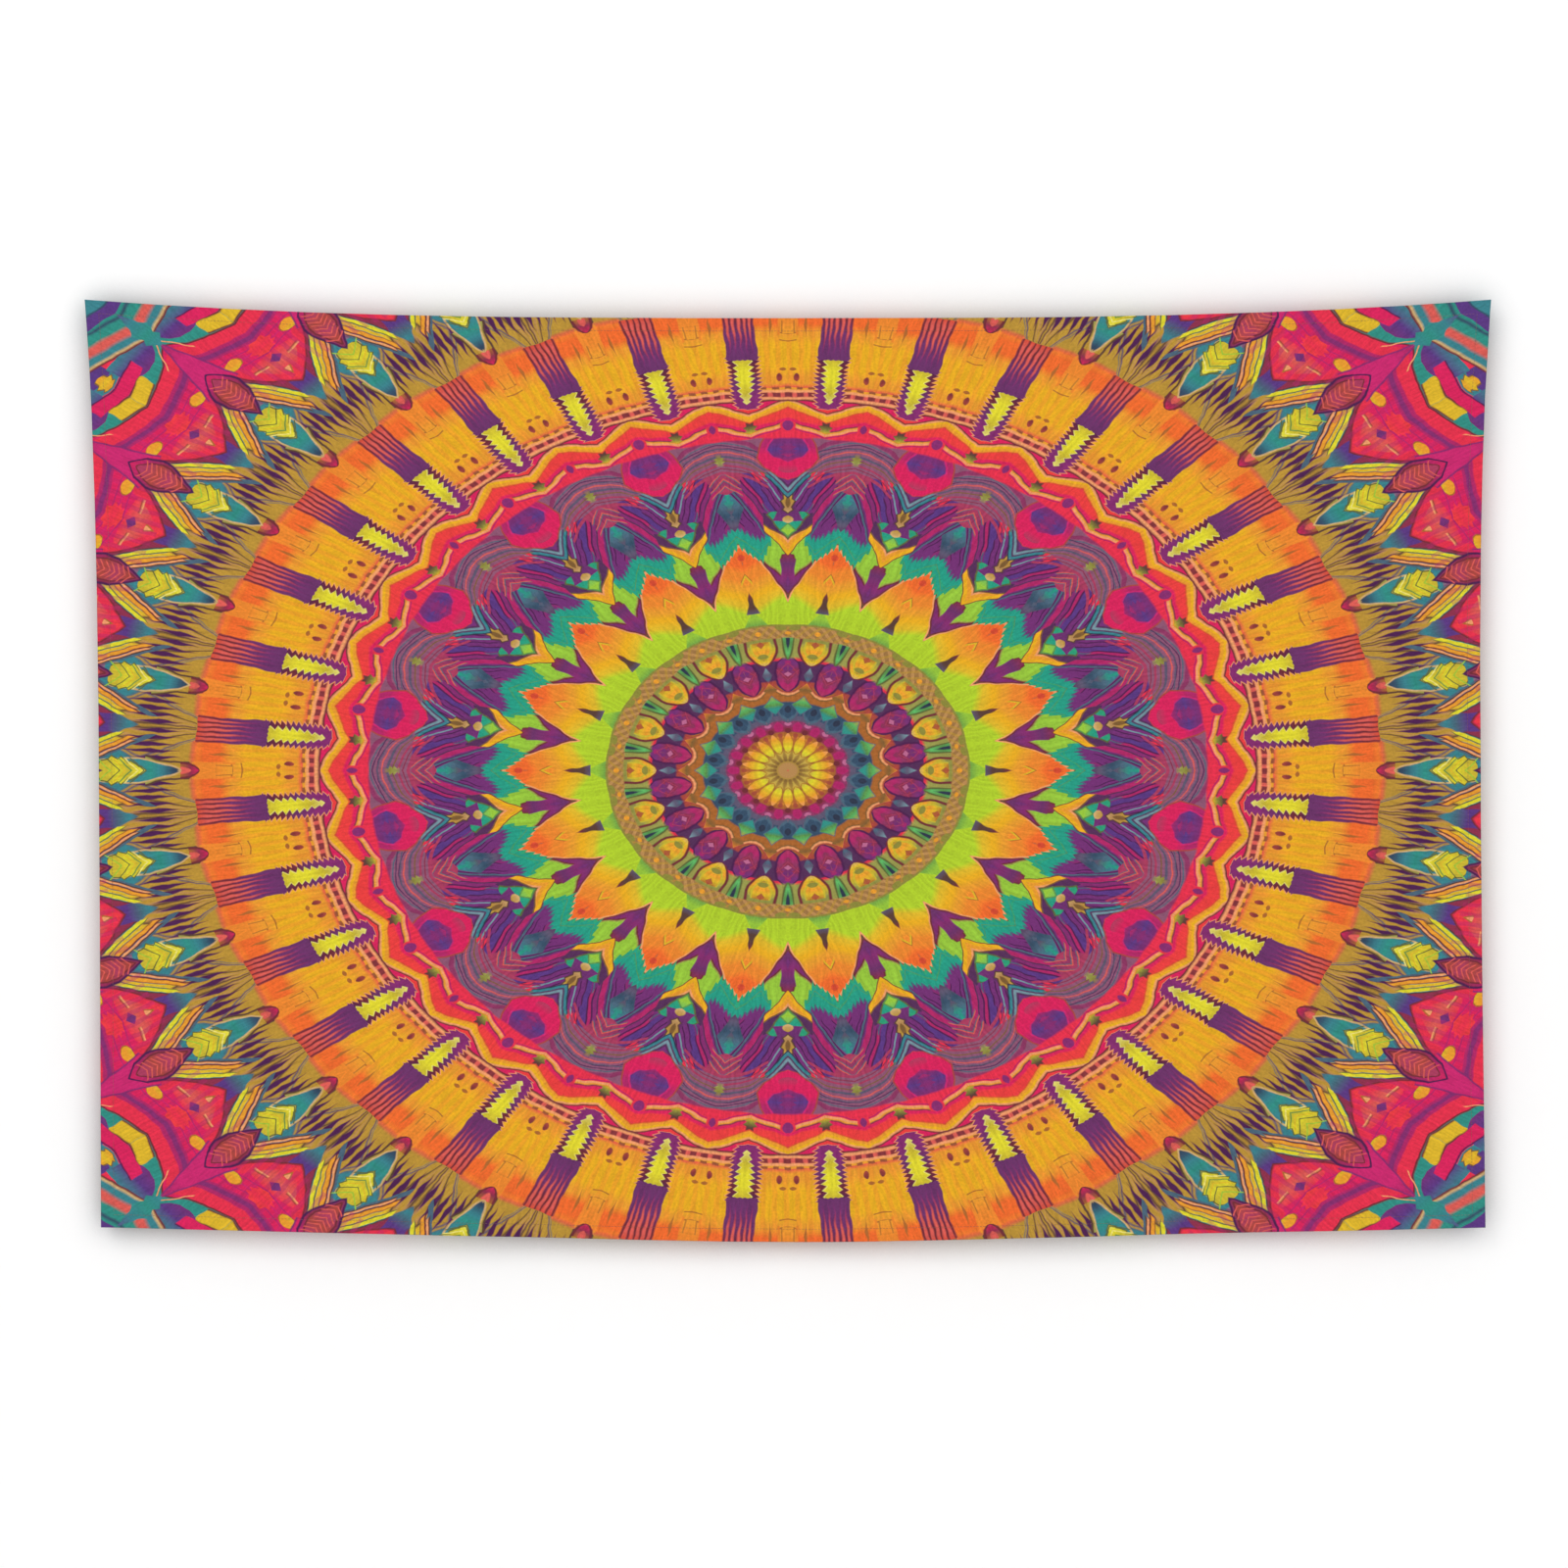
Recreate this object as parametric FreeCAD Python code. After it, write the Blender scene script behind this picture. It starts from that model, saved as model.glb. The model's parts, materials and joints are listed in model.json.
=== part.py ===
import FreeCAD, Part
import math
import os

# A printed cloth wall hanging: one wide hemmed panel that hangs by two small
# rings sewn behind its top corners.
#
# Frame: +X right, +Z up, the face of the cloth looks along -Y.  The origin is
# midway between the two ring centres, in the plane of the rings' back faces,
# which is where the wall is.  All sizes are in millimetres.
#
# The cloth bends freely.  Its one modelled bend is a straight line below the
# top hem, where the panel lifts away from the wall, so every strip of cloth
# that crosses this line is cut there.

# ---- driving dimensions -------------------------------------------------

# Hung outline of the cloth
TOP_CORNER_X = 758.0          # half of the width between the two top corners
TOP_CORNER_Z = 8.5            # top corners above the ring centres
CORNER_TO_CORNER_Z = 1000.0   # height between a top and a bottom corner
TOP_SAG = 20.0                # the top edge dips this much between the rings
BOTTOM_SAG = 16.0             # the bottom edge bows down this much
LEFT_PULL_IN = 17.5           # the left edge ends this far inside its top corner
RIGHT_PULL_IN = 15.0          # the right edge pulls in this far on its way down
RIGHT_END_IN = 6.5            # and ends this far inside its top corner

# Cloth and hems
CLOTH_THICK = 0.4
HEM_WIDTH = 16.0
HEM_LAYERS = 2                # a double-turned hem lies two layers behind the face

# Bend line
BEND_Z = -32.0
BEND_GAP = 0.5

# Hem seams
SEAM_FROM_FOLD = 2.0          # seam to the inner edge of the hem
THREAD_WIDTH = 0.35
THREAD_HEIGHT = 0.15
SEAM_END_GAP = 1.0            # a side seam stops this short of the bottom seam

# Hanging rings, each with a small sewing eye below it
RING_X = 736.0                # ring centres, left and right of the middle
RING_BORE_R = 4.0
RING_OUTER_R = 5.3
RING_THICK = 1.2
EYE_HOLE_R = 1.0
EYE_OUTER_R = 1.8
EYE_DROP = 6.4                # eye centre below the ring centre
RING_EDGE_ROUND = 0.25

# Thread tacks that sew each eye to the hem
TACK_LOOPS = 3
TACK_PITCH = 0.42
TACK_LOOP_R = 1.1
TACK_THREAD_R = 0.2
RING_STAND_OFF = 0.9          # middle of the ring's thickness to the hem's back

# ---- worked out from them -----------------------------------------------

RING_MID_Y = -RING_THICK / 2
HEM_BACK_Y = RING_MID_Y - RING_STAND_OFF
FACE_BACK_Y = HEM_BACK_Y - HEM_LAYERS * CLOTH_THICK
FACE_FRONT_Y = FACE_BACK_Y - CLOTH_THICK
BOTTOM_CORNER_Z = TOP_CORNER_Z - CORNER_TO_CORNER_Z
TACK_Z = -EYE_DROP - (EYE_HOLE_R + EYE_OUTER_R) / 2
SEAM_INSET = HEM_WIDTH - SEAM_FROM_FOLD
FAR = 2000.0                  # larger than the whole cloth, for cutting tools
FLAT_TOLERANCE = 1e-6         # an edge thinner than this along Y lies in one Y plane


def bezier(poles):
    """One cubic edge in the plane of the cloth, from its (x, z) poles."""
    curve = Part.BezierCurve()
    curve.setPoles([FreeCAD.Vector(x, 0, z) for x, z in poles])
    return curve.toShape()


def top_edge(inset):
    """The top edge, left to right: a cubic sag, level in the middle."""
    half = TOP_CORNER_X - inset
    high = TOP_CORNER_Z - inset
    low = high - TOP_SAG
    left = [(-half, high), (-half * 2 / 3, low), (-half / 3, low), (0, low)]
    right = [(-x, z) for x, z in reversed(left)]
    return [bezier(left), bezier(right)]


def side_edge(side, inset):
    """One side edge, top to bottom: it pulls in below the ring and then hangs."""
    if side < 0:
        pulls = [0, LEFT_PULL_IN * 0.8, LEFT_PULL_IN, LEFT_PULL_IN]
    else:
        pulls = [0, RIGHT_PULL_IN * 0.95, RIGHT_PULL_IN, RIGHT_END_IN]
    depths = [0, 0.17, 0.4, 1]
    high = TOP_CORNER_Z - inset
    low = BOTTOM_CORNER_Z + inset
    poles = []
    for pull, depth in zip(pulls, depths):
        x = side * (TOP_CORNER_X - inset - pull)
        z = high + (low - high) * depth
        poles.append((x, z))
    return bezier(poles)


def bottom_edge(inset):
    """The bottom edge, right to left: nearly straight runs to a round middle."""
    high = BOTTOM_CORNER_Z + inset
    right_x = TOP_CORNER_X - RIGHT_END_IN - inset
    left_x = TOP_CORNER_X - LEFT_PULL_IN - inset
    middle_x = (right_x - left_x) / 2
    half = (right_x + left_x) / 2
    drops = [(1, 0), (0.5, 0.45), (0.15, 1), (0, 1)]
    right = [(middle_x + half * u, high - BOTTOM_SAG * drop) for u, drop in drops]
    left = [(middle_x - half * u, high - BOTTOM_SAG * drop) for u, drop in reversed(drops)]
    return [bezier(right), bezier(left)]


def outline_face(inset):
    """The cloth's outline as a flat face at Y = 0, moved in by inset all round."""
    edges = top_edge(inset)
    edges.append(side_edge(1, inset))
    edges += bottom_edge(inset)
    edges.append(side_edge(-1, inset))
    return Part.Face(Part.Wire(Part.__sortEdges__(edges)))


def slab(inset, back_y, front_y):
    """A sheet of the cloth's outline between two Y planes."""
    face = outline_face(inset)
    face.translate(FreeCAD.Vector(0, back_y, 0))
    return face.extrude(FreeCAD.Vector(0, front_y - back_y, 0))


def band(outer_inset, inner_inset, back_y, front_y):
    """A closed border between two insets of the outline."""
    outer = slab(outer_inset, back_y, front_y)
    inner = slab(inner_inset, back_y, front_y)
    return outer.cut(inner)


def box(low, high):
    """A box between two corner points given as (x, y, z)."""
    size = [b - a for a, b in zip(low, high)]
    return Part.makeBox(size[0], size[1], size[2], FreeCAD.Vector(*low))


def above(z):
    return box((-FAR, -FAR, z), (FAR, FAR, FAR))


def below(z):
    return box((-FAR, -FAR, -FAR), (FAR, FAR, z))


def half_space(side):
    """Everything left (-1) or right (1) of the middle."""
    if side < 0:
        return box((-FAR, -FAR, -FAR), (0, FAR, FAR))
    return box((0, -FAR, -FAR), (FAR, FAR, FAR))


def beyond(edges, far_z):
    """Everything from a run of edges to the level far_z, run on level past both ends."""
    start = edges[0].firstVertex().Point
    end = edges[-1].lastVertex().Point
    start_x = math.copysign(FAR, start.x)
    end_x = math.copysign(FAR, end.x)
    route = [end, (end_x, 0, end.z), (end_x, 0, far_z), (start_x, 0, far_z), (start_x, 0, start.z), start]
    points = [FreeCAD.Vector(*point) for point in route]
    closing = [Part.makeLine(here, there) for here, there in zip(points, points[1:])]
    face = Part.Face(Part.Wire(Part.__sortEdges__(edges + closing)))
    face.translate(FreeCAD.Vector(0, -FAR, 0))
    return face.extrude(FreeCAD.Vector(0, 2 * FAR, 0))


# ---- the cloth ------------------------------------------------------------

def face_cloth():
    """The printed face in two parts: above and below the bend line."""
    whole = slab(0, FACE_BACK_Y, FACE_FRONT_Y)
    strip = whole.common(above(BEND_Z + BEND_GAP / 2))
    panel = whole.common(below(BEND_Z - BEND_GAP / 2))
    return {"panel_top_strip": strip, "printed_panel": panel}


def hems():
    """Double-turned hems behind the face: top and bottom across the whole width,
    left and right between them, with their top ends cut off at the bend line."""
    border = band(0, HEM_WIDTH, HEM_BACK_Y, FACE_BACK_Y)
    upper = border.common(above(BEND_Z + BEND_GAP / 2))
    lower = border.common(below(BEND_Z - BEND_GAP / 2))
    under_top_hem = beyond(top_edge(HEM_WIDTH), -FAR)
    over_bottom_hem = beyond(bottom_edge(HEM_WIDTH), FAR)
    pieces = {
        "top_hem": upper.cut(under_top_hem),
        "bottom_hem": lower.cut(over_bottom_hem),
    }
    for name, side in (("left", -1), ("right", 1)):
        pieces[name + "_hem_top_end"] = upper.common(under_top_hem).common(half_space(side))
        pieces[name + "_hem"] = lower.common(over_bottom_hem).common(half_space(side))
    return pieces


def seam_threads():
    """The row of sewing thread along each hem, one line on each face of the cloth."""
    inner = SEAM_INSET + THREAD_WIDTH
    front = band(SEAM_INSET, inner, FACE_FRONT_Y, FACE_FRONT_Y - THREAD_HEIGHT)
    back = band(SEAM_INSET, inner, HEM_BACK_Y + THREAD_HEIGHT, HEM_BACK_Y)
    bottom_seam_top = BOTTOM_CORNER_Z + inner
    seams = {}
    for row in (front, back):
        lower = row.common(below(BEND_Z - BEND_GAP / 2))
        sides = lower.common(above(bottom_seam_top + SEAM_END_GAP))
        lines = {
            "top_hem_seam": row.common(above(BEND_Z + BEND_GAP / 2)),
            "left_hem_seam": sides.common(half_space(-1)),
            "right_hem_seam": sides.common(half_space(1)),
            "bottom_hem_seam": lower.common(below(bottom_seam_top)),
        }
        for name, line in lines.items():
            seams.setdefault(name, []).append(line)
    return {name: Part.Compound(rows) for name, rows in seams.items()}


# ---- hanging rings and their tacks -----------------------------------------

def disc(radius, x, z):
    """A disc of the ring's thickness, its back face at Y = 0."""
    return Part.makeCylinder(radius, RING_THICK, FreeCAD.Vector(x, 0, z), FreeCAD.Vector(0, -1, 0))


def rim_edges(shape):
    """The edges that lie in the ring's front or back face."""
    return [edge for edge in shape.Edges if edge.BoundBox.YLength < FLAT_TOLERANCE]


def hanging_ring(x):
    """A flat ring with a small sewing eye at its foot, all edges rounded."""
    blank = disc(RING_OUTER_R, x, 0).fuse(disc(EYE_OUTER_R, x, -EYE_DROP))
    blank = blank.cut(disc(RING_BORE_R, x, 0)).cut(disc(EYE_HOLE_R, x, -EYE_DROP))
    blank = blank.removeSplitter()
    return blank.makeFillet(RING_EDGE_ROUND, rim_edges(blank))


def ring_tack(x):
    """Loops of thread round the foot of the eye, ending in the hem's back."""
    loops = []
    keep = box((-FAR, HEM_BACK_Y, -FAR), (FAR, FAR, FAR))
    for number in range(TACK_LOOPS):
        loop_x = x + (number - (TACK_LOOPS - 1) / 2) * TACK_PITCH
        centre = FreeCAD.Vector(loop_x, RING_MID_Y, TACK_Z)
        loop = Part.makeTorus(TACK_LOOP_R, TACK_THREAD_R, centre, FreeCAD.Vector(1, 0, 0))
        loops.append(loop.common(keep))
    return Part.Compound(loops)


def build():
    nodes = {}
    nodes.update(face_cloth())
    nodes.update(hems())
    nodes.update(seam_threads())
    for name, side in (("left", -1), ("right", 1)):
        nodes[name + "_hanging_ring"] = hanging_ring(side * RING_X)
        nodes[name + "_ring_tack"] = ring_tack(side * RING_X)
    return nodes


def check_solids(name, solids):
    for solid in solids:
        if not solid.isValid() or not solid.isClosed() or solid.Volume <= 0:
            raise ValueError("not a closed valid solid: " + name)


def export(nodes):
    """Write each node's solids to its own STEP file and print its size."""
    os.makedirs("parts", exist_ok=True)
    for name, node in nodes.items():
        solids = node.Solids
        check_solids(name, solids)
        shape = solids[0] if len(solids) == 1 else Part.Compound(solids)
        shape.exportStep("parts/" + name + ".step")
        size = shape.optimalBoundingBox()
        low = [round(value, 2) for value in (size.XMin, size.YMin, size.ZMin)]
        high = [round(value, 2) for value in (size.XMax, size.YMax, size.ZMax)]
        print(name, len(solids), "solids", low, high)


export(build())
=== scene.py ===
import json
import math

import bpy
import numpy as np
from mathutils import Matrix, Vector


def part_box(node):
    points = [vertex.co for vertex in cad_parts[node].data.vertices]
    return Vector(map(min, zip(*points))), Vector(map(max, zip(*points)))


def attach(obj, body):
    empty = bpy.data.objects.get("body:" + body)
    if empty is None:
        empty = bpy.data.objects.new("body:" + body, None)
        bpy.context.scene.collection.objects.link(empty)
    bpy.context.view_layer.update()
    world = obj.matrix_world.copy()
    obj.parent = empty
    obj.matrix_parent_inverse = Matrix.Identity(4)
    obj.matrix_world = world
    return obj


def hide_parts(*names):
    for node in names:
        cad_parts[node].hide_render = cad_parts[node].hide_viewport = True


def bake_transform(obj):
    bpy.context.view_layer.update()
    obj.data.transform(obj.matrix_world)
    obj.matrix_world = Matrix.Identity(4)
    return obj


# A printed cloth wall hanging.  Everything is in metres in the frame's own axes:
# +X right, +Z up, and the printed face looks along -Y, away from the wall.

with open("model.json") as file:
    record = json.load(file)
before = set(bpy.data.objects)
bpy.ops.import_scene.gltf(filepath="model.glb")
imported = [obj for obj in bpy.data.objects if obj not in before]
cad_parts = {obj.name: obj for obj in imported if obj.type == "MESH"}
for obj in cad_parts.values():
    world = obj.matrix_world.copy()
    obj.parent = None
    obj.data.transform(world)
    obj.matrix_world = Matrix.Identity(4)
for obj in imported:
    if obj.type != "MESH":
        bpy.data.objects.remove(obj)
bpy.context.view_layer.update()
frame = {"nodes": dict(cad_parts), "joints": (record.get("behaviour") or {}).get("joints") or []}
NODES = frame["nodes"]
JOINTS = {joint["name"]: joint for joint in frame["joints"]}
MM = 0.001


# ---- sizes worked out from the frame ------------------------------------

def node_points(*names):
    """All mesh points of some CAD nodes as one array."""
    return np.array([v.co for name in names for v in NODES[name].data.vertices])


FACE_POINTS = node_points("panel_top_strip", "printed_panel")
HEM_POINTS = node_points("top_hem", "left_hem", "right_hem", "bottom_hem")
FACE_FRONT_Y = FACE_POINTS[:, 1].min()
FACE_BACK_Y = FACE_POINTS[:, 1].max()
HEM_BACK_Y = HEM_POINTS[:, 1].max()
CLOTH_THICK = FACE_BACK_Y - FACE_FRONT_Y
BEND_POINT = Vector(JOINTS["panel_lift"]["pos_m"])
RING_XS = [JOINTS[side + "_ring_flip"]["pos_m"][0] for side in ("left", "right")]
FLAT_SIZE = (1.5, 1.0)        # the finished cloth before it was hung


def outline_sides():
    """The cloth's hung outline from the CAD face: its four sides as sorted point rows."""
    cut = np.abs(FACE_POINTS[:, 2] - BEND_POINT.z) < 0.5 * MM
    points = np.unique(np.round(FACE_POINTS[~cut][:, [0, 2]], 7), axis=0)
    middle = (points.min(0) + points.max(0)) / 2
    angle = np.arctan2(points[:, 0] - middle[0], points[:, 1] - middle[1])
    points = points[np.argsort(angle)]
    ways = {"top_left": (-1, 1), "top_right": (1, 1), "bottom_right": (1, -1), "bottom_left": (-1, -1)}
    at = {name: int(np.argmax(points @ np.array(way))) for name, way in ways.items()}

    def run(start, end):
        rolled = np.roll(points, -at[start], axis=0)
        return rolled[: (at[end] - at[start]) % len(points) + 1]

    return {
        "top": run("top_left", "top_right"),
        "right": run("top_right", "bottom_right"),
        "bottom": run("bottom_right", "bottom_left")[::-1],
        "left": run("bottom_left", "top_left")[::-1],
    }


SIDES = outline_sides()


# ---- the hung surface -----------------------------------------------------

GRID_STEP = 0.0065            # size of a cell in the middle of the cloth
EDGE_LINES = (0, 1.5, 4, 8, 12.5, 14, 15.5, 19)      # finer rows near each edge, mm

# Soft folds as ridges: start and end (x, z), width, height towards the viewer, in metres.
# The two long ones run down from the held corners.
RIDGES = [
    ((0.740, -0.02), (0.330, -0.86), 0.120, 0.0075),
    ((-0.740, -0.02), (-0.400, -0.92), 0.150, 0.0060),
    ((0.600, -0.02), (-0.100, -0.30), 0.070, 0.0022),
    ((-0.620, -0.02), (0.050, -0.36), 0.080, 0.0020),
    ((0.755, -0.35), (0.640, -0.99), 0.060, 0.0030),
    ((-0.750, -0.40), (-0.690, -0.99), 0.055, 0.0024),
]
RIDGE_TIP = 0.35              # a ridge's width at its start, as a share of its own
RIDGE_SPREAD = 0.9            # and how much more it has at its end
RIDGE_RISE = 0.25             # share of its length in which it rises
# Slow waves over the whole cloth: waves across, waves down, phase, height in metres.
WAVES = [
    (1.6, 0.5, 0.4, 0.0012),
    (2.7, -0.8, 2.1, 0.0009),
    (4.4, 1.3, 4.0, 0.0006),
    (7.3, 0.9, 1.2, 0.0003),
]
WAVES_AT_TOP = 0.3            # share of their height that the waves have at the top
FLAT_ROUND_RING = 0.02        # the cloth lies flat this close to a ring
FREE_FROM_RING = 0.15         # and takes this much further to come free
MOST_RELIEF = 0.0088


def ease(share):
    """A smooth step: level at 0 and at 1."""
    return share * share * (3 - 2 * share)


def side_place(points, values, axis):
    """A side's other coordinate where its axis coordinate has these values."""
    order = np.argsort(points[:, axis])
    return np.interp(values, points[order, axis], points[order, 1 - axis])


def plane_point(u, v):
    """Hung-plane (x, z) of the cloth at u across and v down, from its four edges."""
    top, bottom, left, right = (SIDES[name] for name in ("top", "bottom", "left", "right"))
    top_x = top[0, 0] + (top[-1, 0] - top[0, 0]) * u
    bottom_x = bottom[0, 0] + (bottom[-1, 0] - bottom[0, 0]) * u
    left_z = left[0, 1] + (left[-1, 1] - left[0, 1]) * v
    right_z = right[0, 1] + (right[-1, 1] - right[0, 1]) * v
    edge_top = np.stack([top_x, side_place(top, top_x, 0)], -1)
    edge_bottom = np.stack([bottom_x, side_place(bottom, bottom_x, 0)], -1)
    edge_left = np.stack([side_place(left, left_z, 1), left_z], -1)
    edge_right = np.stack([side_place(right, right_z, 1), right_z], -1)
    u, v = u[..., None], v[..., None]
    corners = (1 - u) * (1 - v) * top[0] + u * (1 - v) * top[-1]
    corners = corners + (1 - u) * v * bottom[0] + u * v * bottom[-1]
    return (1 - v) * edge_top + v * edge_bottom + (1 - u) * edge_left + u * edge_right - corners


def relief(x, z):
    """How far the cloth stands towards the wall (+Y) from its flat CAD face."""
    out = np.zeros_like(x)
    for start, end, width, height in RIDGES:
        a, b = np.array(start), np.array(end)
        way = b - a
        share = np.clip(((x - a[0]) * way[0] + (z - a[1]) * way[1]) / (way @ way), 0, 1)
        distance = np.hypot(x - a[0] - share * way[0], z - a[1] - share * way[1])
        spread = width * (RIDGE_TIP + RIDGE_SPREAD * share)
        out -= height * ease(np.clip(share / RIDGE_RISE, 0, 1)) * np.exp(-(distance / spread) ** 2)
    for across, down, phase, height in WAVES:
        hang = np.clip(-z, 0, 1)
        out += height * (WAVES_AT_TOP + hang) * np.sin(2 * math.pi * (across * x + down * z) + phase)
    from_ring = np.minimum(*(np.hypot(x - ring_x, z) for ring_x in RING_XS))
    out *= ease(np.clip((from_ring - FLAT_ROUND_RING) / FREE_FROM_RING, 0, 1))
    return MOST_RELIEF * np.tanh(out / MOST_RELIEF)


def surface(u, v, depth=0.0):
    """Points of the hung cloth; depth is the distance behind its printed face."""
    plane = plane_point(u, v)
    y = FACE_FRONT_Y + relief(plane[..., 0], plane[..., 1]) + depth
    return np.stack([plane[..., 0], y, plane[..., 1]], -1)


def grid_lines(length):
    """Cell lines from 0 to 1 along one side of the cloth, finer near its ends."""
    edge = np.array(EDGE_LINES) * MM
    count = round((length - 2 * edge[-1]) / GRID_STEP)
    middle = np.linspace(edge[-1], length - edge[-1], count + 1)[1:-1]
    return np.concatenate([edge, middle, length - edge[::-1]]) / length


# ---- meshes -------------------------------------------------------------------

PRINT_CENTRE = ((SIDES["top"][0, 0] + SIDES["top"][-1, 0]) / 2, -0.499)
SAG_ABOVE, SAG_BELOW = 0.012, 0.007     # how far the print hangs down towards the top and bottom edges
SAG_FROM_CENTRE = 0.45                  # measured this far from the print's centre


def print_places(hung):
    """Where on the print hung points (x, z) lie; its upper and lower parts sag with the cloth."""
    places = np.asarray(hung) - np.array(PRINT_CENTRE)
    sag = np.where(places[:, 1] > 0, SAG_ABOVE, SAG_BELOW)
    middle = np.cos(np.clip(places[:, 0] / FLAT_SIZE[0], -0.5, 0.5) * math.pi) ** 2
    places[:, 1] += sag * middle * (places[:, 1] / SAG_FROM_CENTRE) ** 2
    return places


def new_piece(name, points, faces, materials, prints=None):
    """A smooth mesh object; prints gives each point the hung (x, z) whose print it shows."""
    mesh = bpy.data.meshes.new(name)
    mesh.from_pydata([tuple(p) for p in points], [], faces)
    mesh.validate()
    piece = bpy.data.objects.new(name, mesh)
    bpy.context.scene.collection.objects.link(piece)
    for material in materials:
        mesh.materials.append(material)
    if prints is not None:
        layer = mesh.uv_layers.new(name="print")
        index = np.zeros(len(mesh.loops), np.int32)
        mesh.loops.foreach_get("vertex_index", index)
        layer.data.foreach_set("uv", print_places(prints)[index].astype(np.float32).ravel())
    mesh.polygons.foreach_set("use_smooth", [True] * len(mesh.polygons))
    return piece


def strip_faces(here, after, count, flip=False):
    """Quads between two rows of points that start at these numbers."""
    faces = [(here + n, here + n + 1, after + n + 1, after + n) for n in range(count - 1)]
    return [face[::-1] for face in faces] if flip else faces


def make_cloth(material_front, material_back):
    """The whole cloth as one thin closed sheet: printed face, back and cut edge."""
    v, u = np.meshgrid(grid_lines(FLAT_SIZE[1]), grid_lines(FLAT_SIZE[0]), indexing="ij")
    rows, columns = u.shape
    count = rows * columns
    points = np.concatenate([surface(u, v, depth).reshape(-1, 3) for depth in (0.0, CLOTH_THICK)])
    front_faces = []
    back_faces = []
    for here in range(0, count - columns, columns):
        front_faces += strip_faces(here, here + columns, columns, flip=True)
        back_faces += strip_faces(here + count, here + count + columns, columns)
    rim = list(range(columns))
    rim += [r * columns + columns - 1 for r in range(1, rows)]
    rim += [(rows - 1) * columns + c for c in range(columns - 2, -1, -1)]
    rim += [r * columns for r in range(rows - 2, 0, -1)]
    edge_faces = [(a, b, b + count, a + count) for a, b in zip(rim, rim[1:] + rim[:1])]
    faces = front_faces + back_faces + edge_faces
    piece = new_piece("printed_cloth", points, faces, [material_front, material_back], points[:, [0, 2]])
    index = [0] * len(front_faces) + [1] * len(back_faces) + [0] * len(edge_faces)
    piece.data.polygons.foreach_set("material_index", index)
    return piece


# ---- colours ----------------------------------------------------------------

INKS = {
    "tan": "b98a52", "ochre": "a9863a", "khaki": "b88f34", "sand": "d2ac74", "brass": "c4a648",
    "straw": "c8b430", "gold": "dcb428", "yellow": "dcd22c", "cream": "e6dc78",
    "amber": "e69a2c", "marigold": "e8ac1c", "orange": "ea862c", "flame": "ee6a2a", "ember": "d64a30",
    "peach": "ec9c68", "coral": "d85a52", "brick": "a6443a", "rust": "a8642c", "red": "e42e4a",
    "scarlet": "e83c3c", "crimson": "d81e5a", "rubine": "ae2464", "cherry": "a83a5c", "wine": "8c2e4a",
    "maroon": "702a34", "magenta": "8c3460", "rose": "c06a92", "fuchsia": "c8246c", "mauve": "8c5470",
    "plum": "722e72",
    "berry": "842a6c", "purple": "6a3066", "aubergine": "542c56", "violet": "5a3680", "grape": "4c1c4e",
    "dusk": "5c546c", "slate": "4a6478", "steel": "70909a", "navy": "344c64", "night": "2c3448",
    "teal": "2e8c80", "sea": "38808a", "jade": "229a82", "emerald": "30a070", "green": "5cb060",
    "fern": "588c48", "leaf": "94c23a", "lime": "aecc2a", "sage": "98984c", "olive": "8a8638",
    "moss": "5c6436", "bark": "583c34", "umber": "7c5a30",
}


def ink(name):
    """A printed ink's base colour, from its sRGB code."""
    code = INKS[name]
    channels = [int(code[start : start + 2], 16) / 255 for start in (0, 2, 4)]
    return tuple(c / 12.92 if c < 0.04045 else ((c + 0.055) / 1.055) ** 2.4 for c in channels) + (1.0,)


# ---- the print: a painter's chain of shader nodes --------------------------------

PRINT_STRETCH = 1.2347        # the round design is printed this much wider than high
SECTOR = 10                   # degrees from one mirror axis of the design to the next
SOFT = 1.1                    # width of the blur at the edge of a printed shape, mm
STROKE_BLUR = 0.06            # blur at the edge of a fine stroke, as a share of its pitch
WOBBLE = 1.6                  # how far the hand-drawn lines wander, mm

# Shapes along an axis: share of the length, share of the half width.
DISC = [(0, 0), (0.07, 0.5), (0.25, 0.87), (0.5, 1), (0.75, 0.87), (0.93, 0.5), (1, 0)]
OVAL = [(0, 0), (0.04, 0.38), (0.15, 0.7), (0.35, 0.95), (0.55, 1), (0.8, 0.85), (0.95, 0.48), (1, 0)]
DIAMOND = [(0, 0), (0.5, 1), (1, 0)]
ARCH = [(0, 0), (0.08, 0.42), (0.25, 0.72), (0.5, 0.93), (0.8, 1), (0.97, 1), (1, 0)]
CONE = [(0, 0), (0.9, 1), (0.97, 0.92), (1, 0)]
FUNNEL = [(0, 0), (0.03, 1), (1, 0)]
BLOCK = [(0, 0), (0.02, 0.9), (0.98, 1), (1, 0)]
LEAF = [(0, 0), (0.12, 0.3), (0.45, 0.95), (0.6, 1), (0.8, 0.75), (1, 0)]
WEDGE = [(0, 0), (0.15, 0.35), (0.55, 1), (1, 0)]

# The mirror axes, by what stands on them, and the places that a ring of the print reads:
# radius in mm, mm per degree, degrees round, and degrees and mm from the nearest axis of a kind.
AXES = ("arrow", "petal", "block", "cone")
PLACES = ("radius", "arc", "turn") + AXES + tuple("from_" + axis for axis in AXES)


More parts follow.
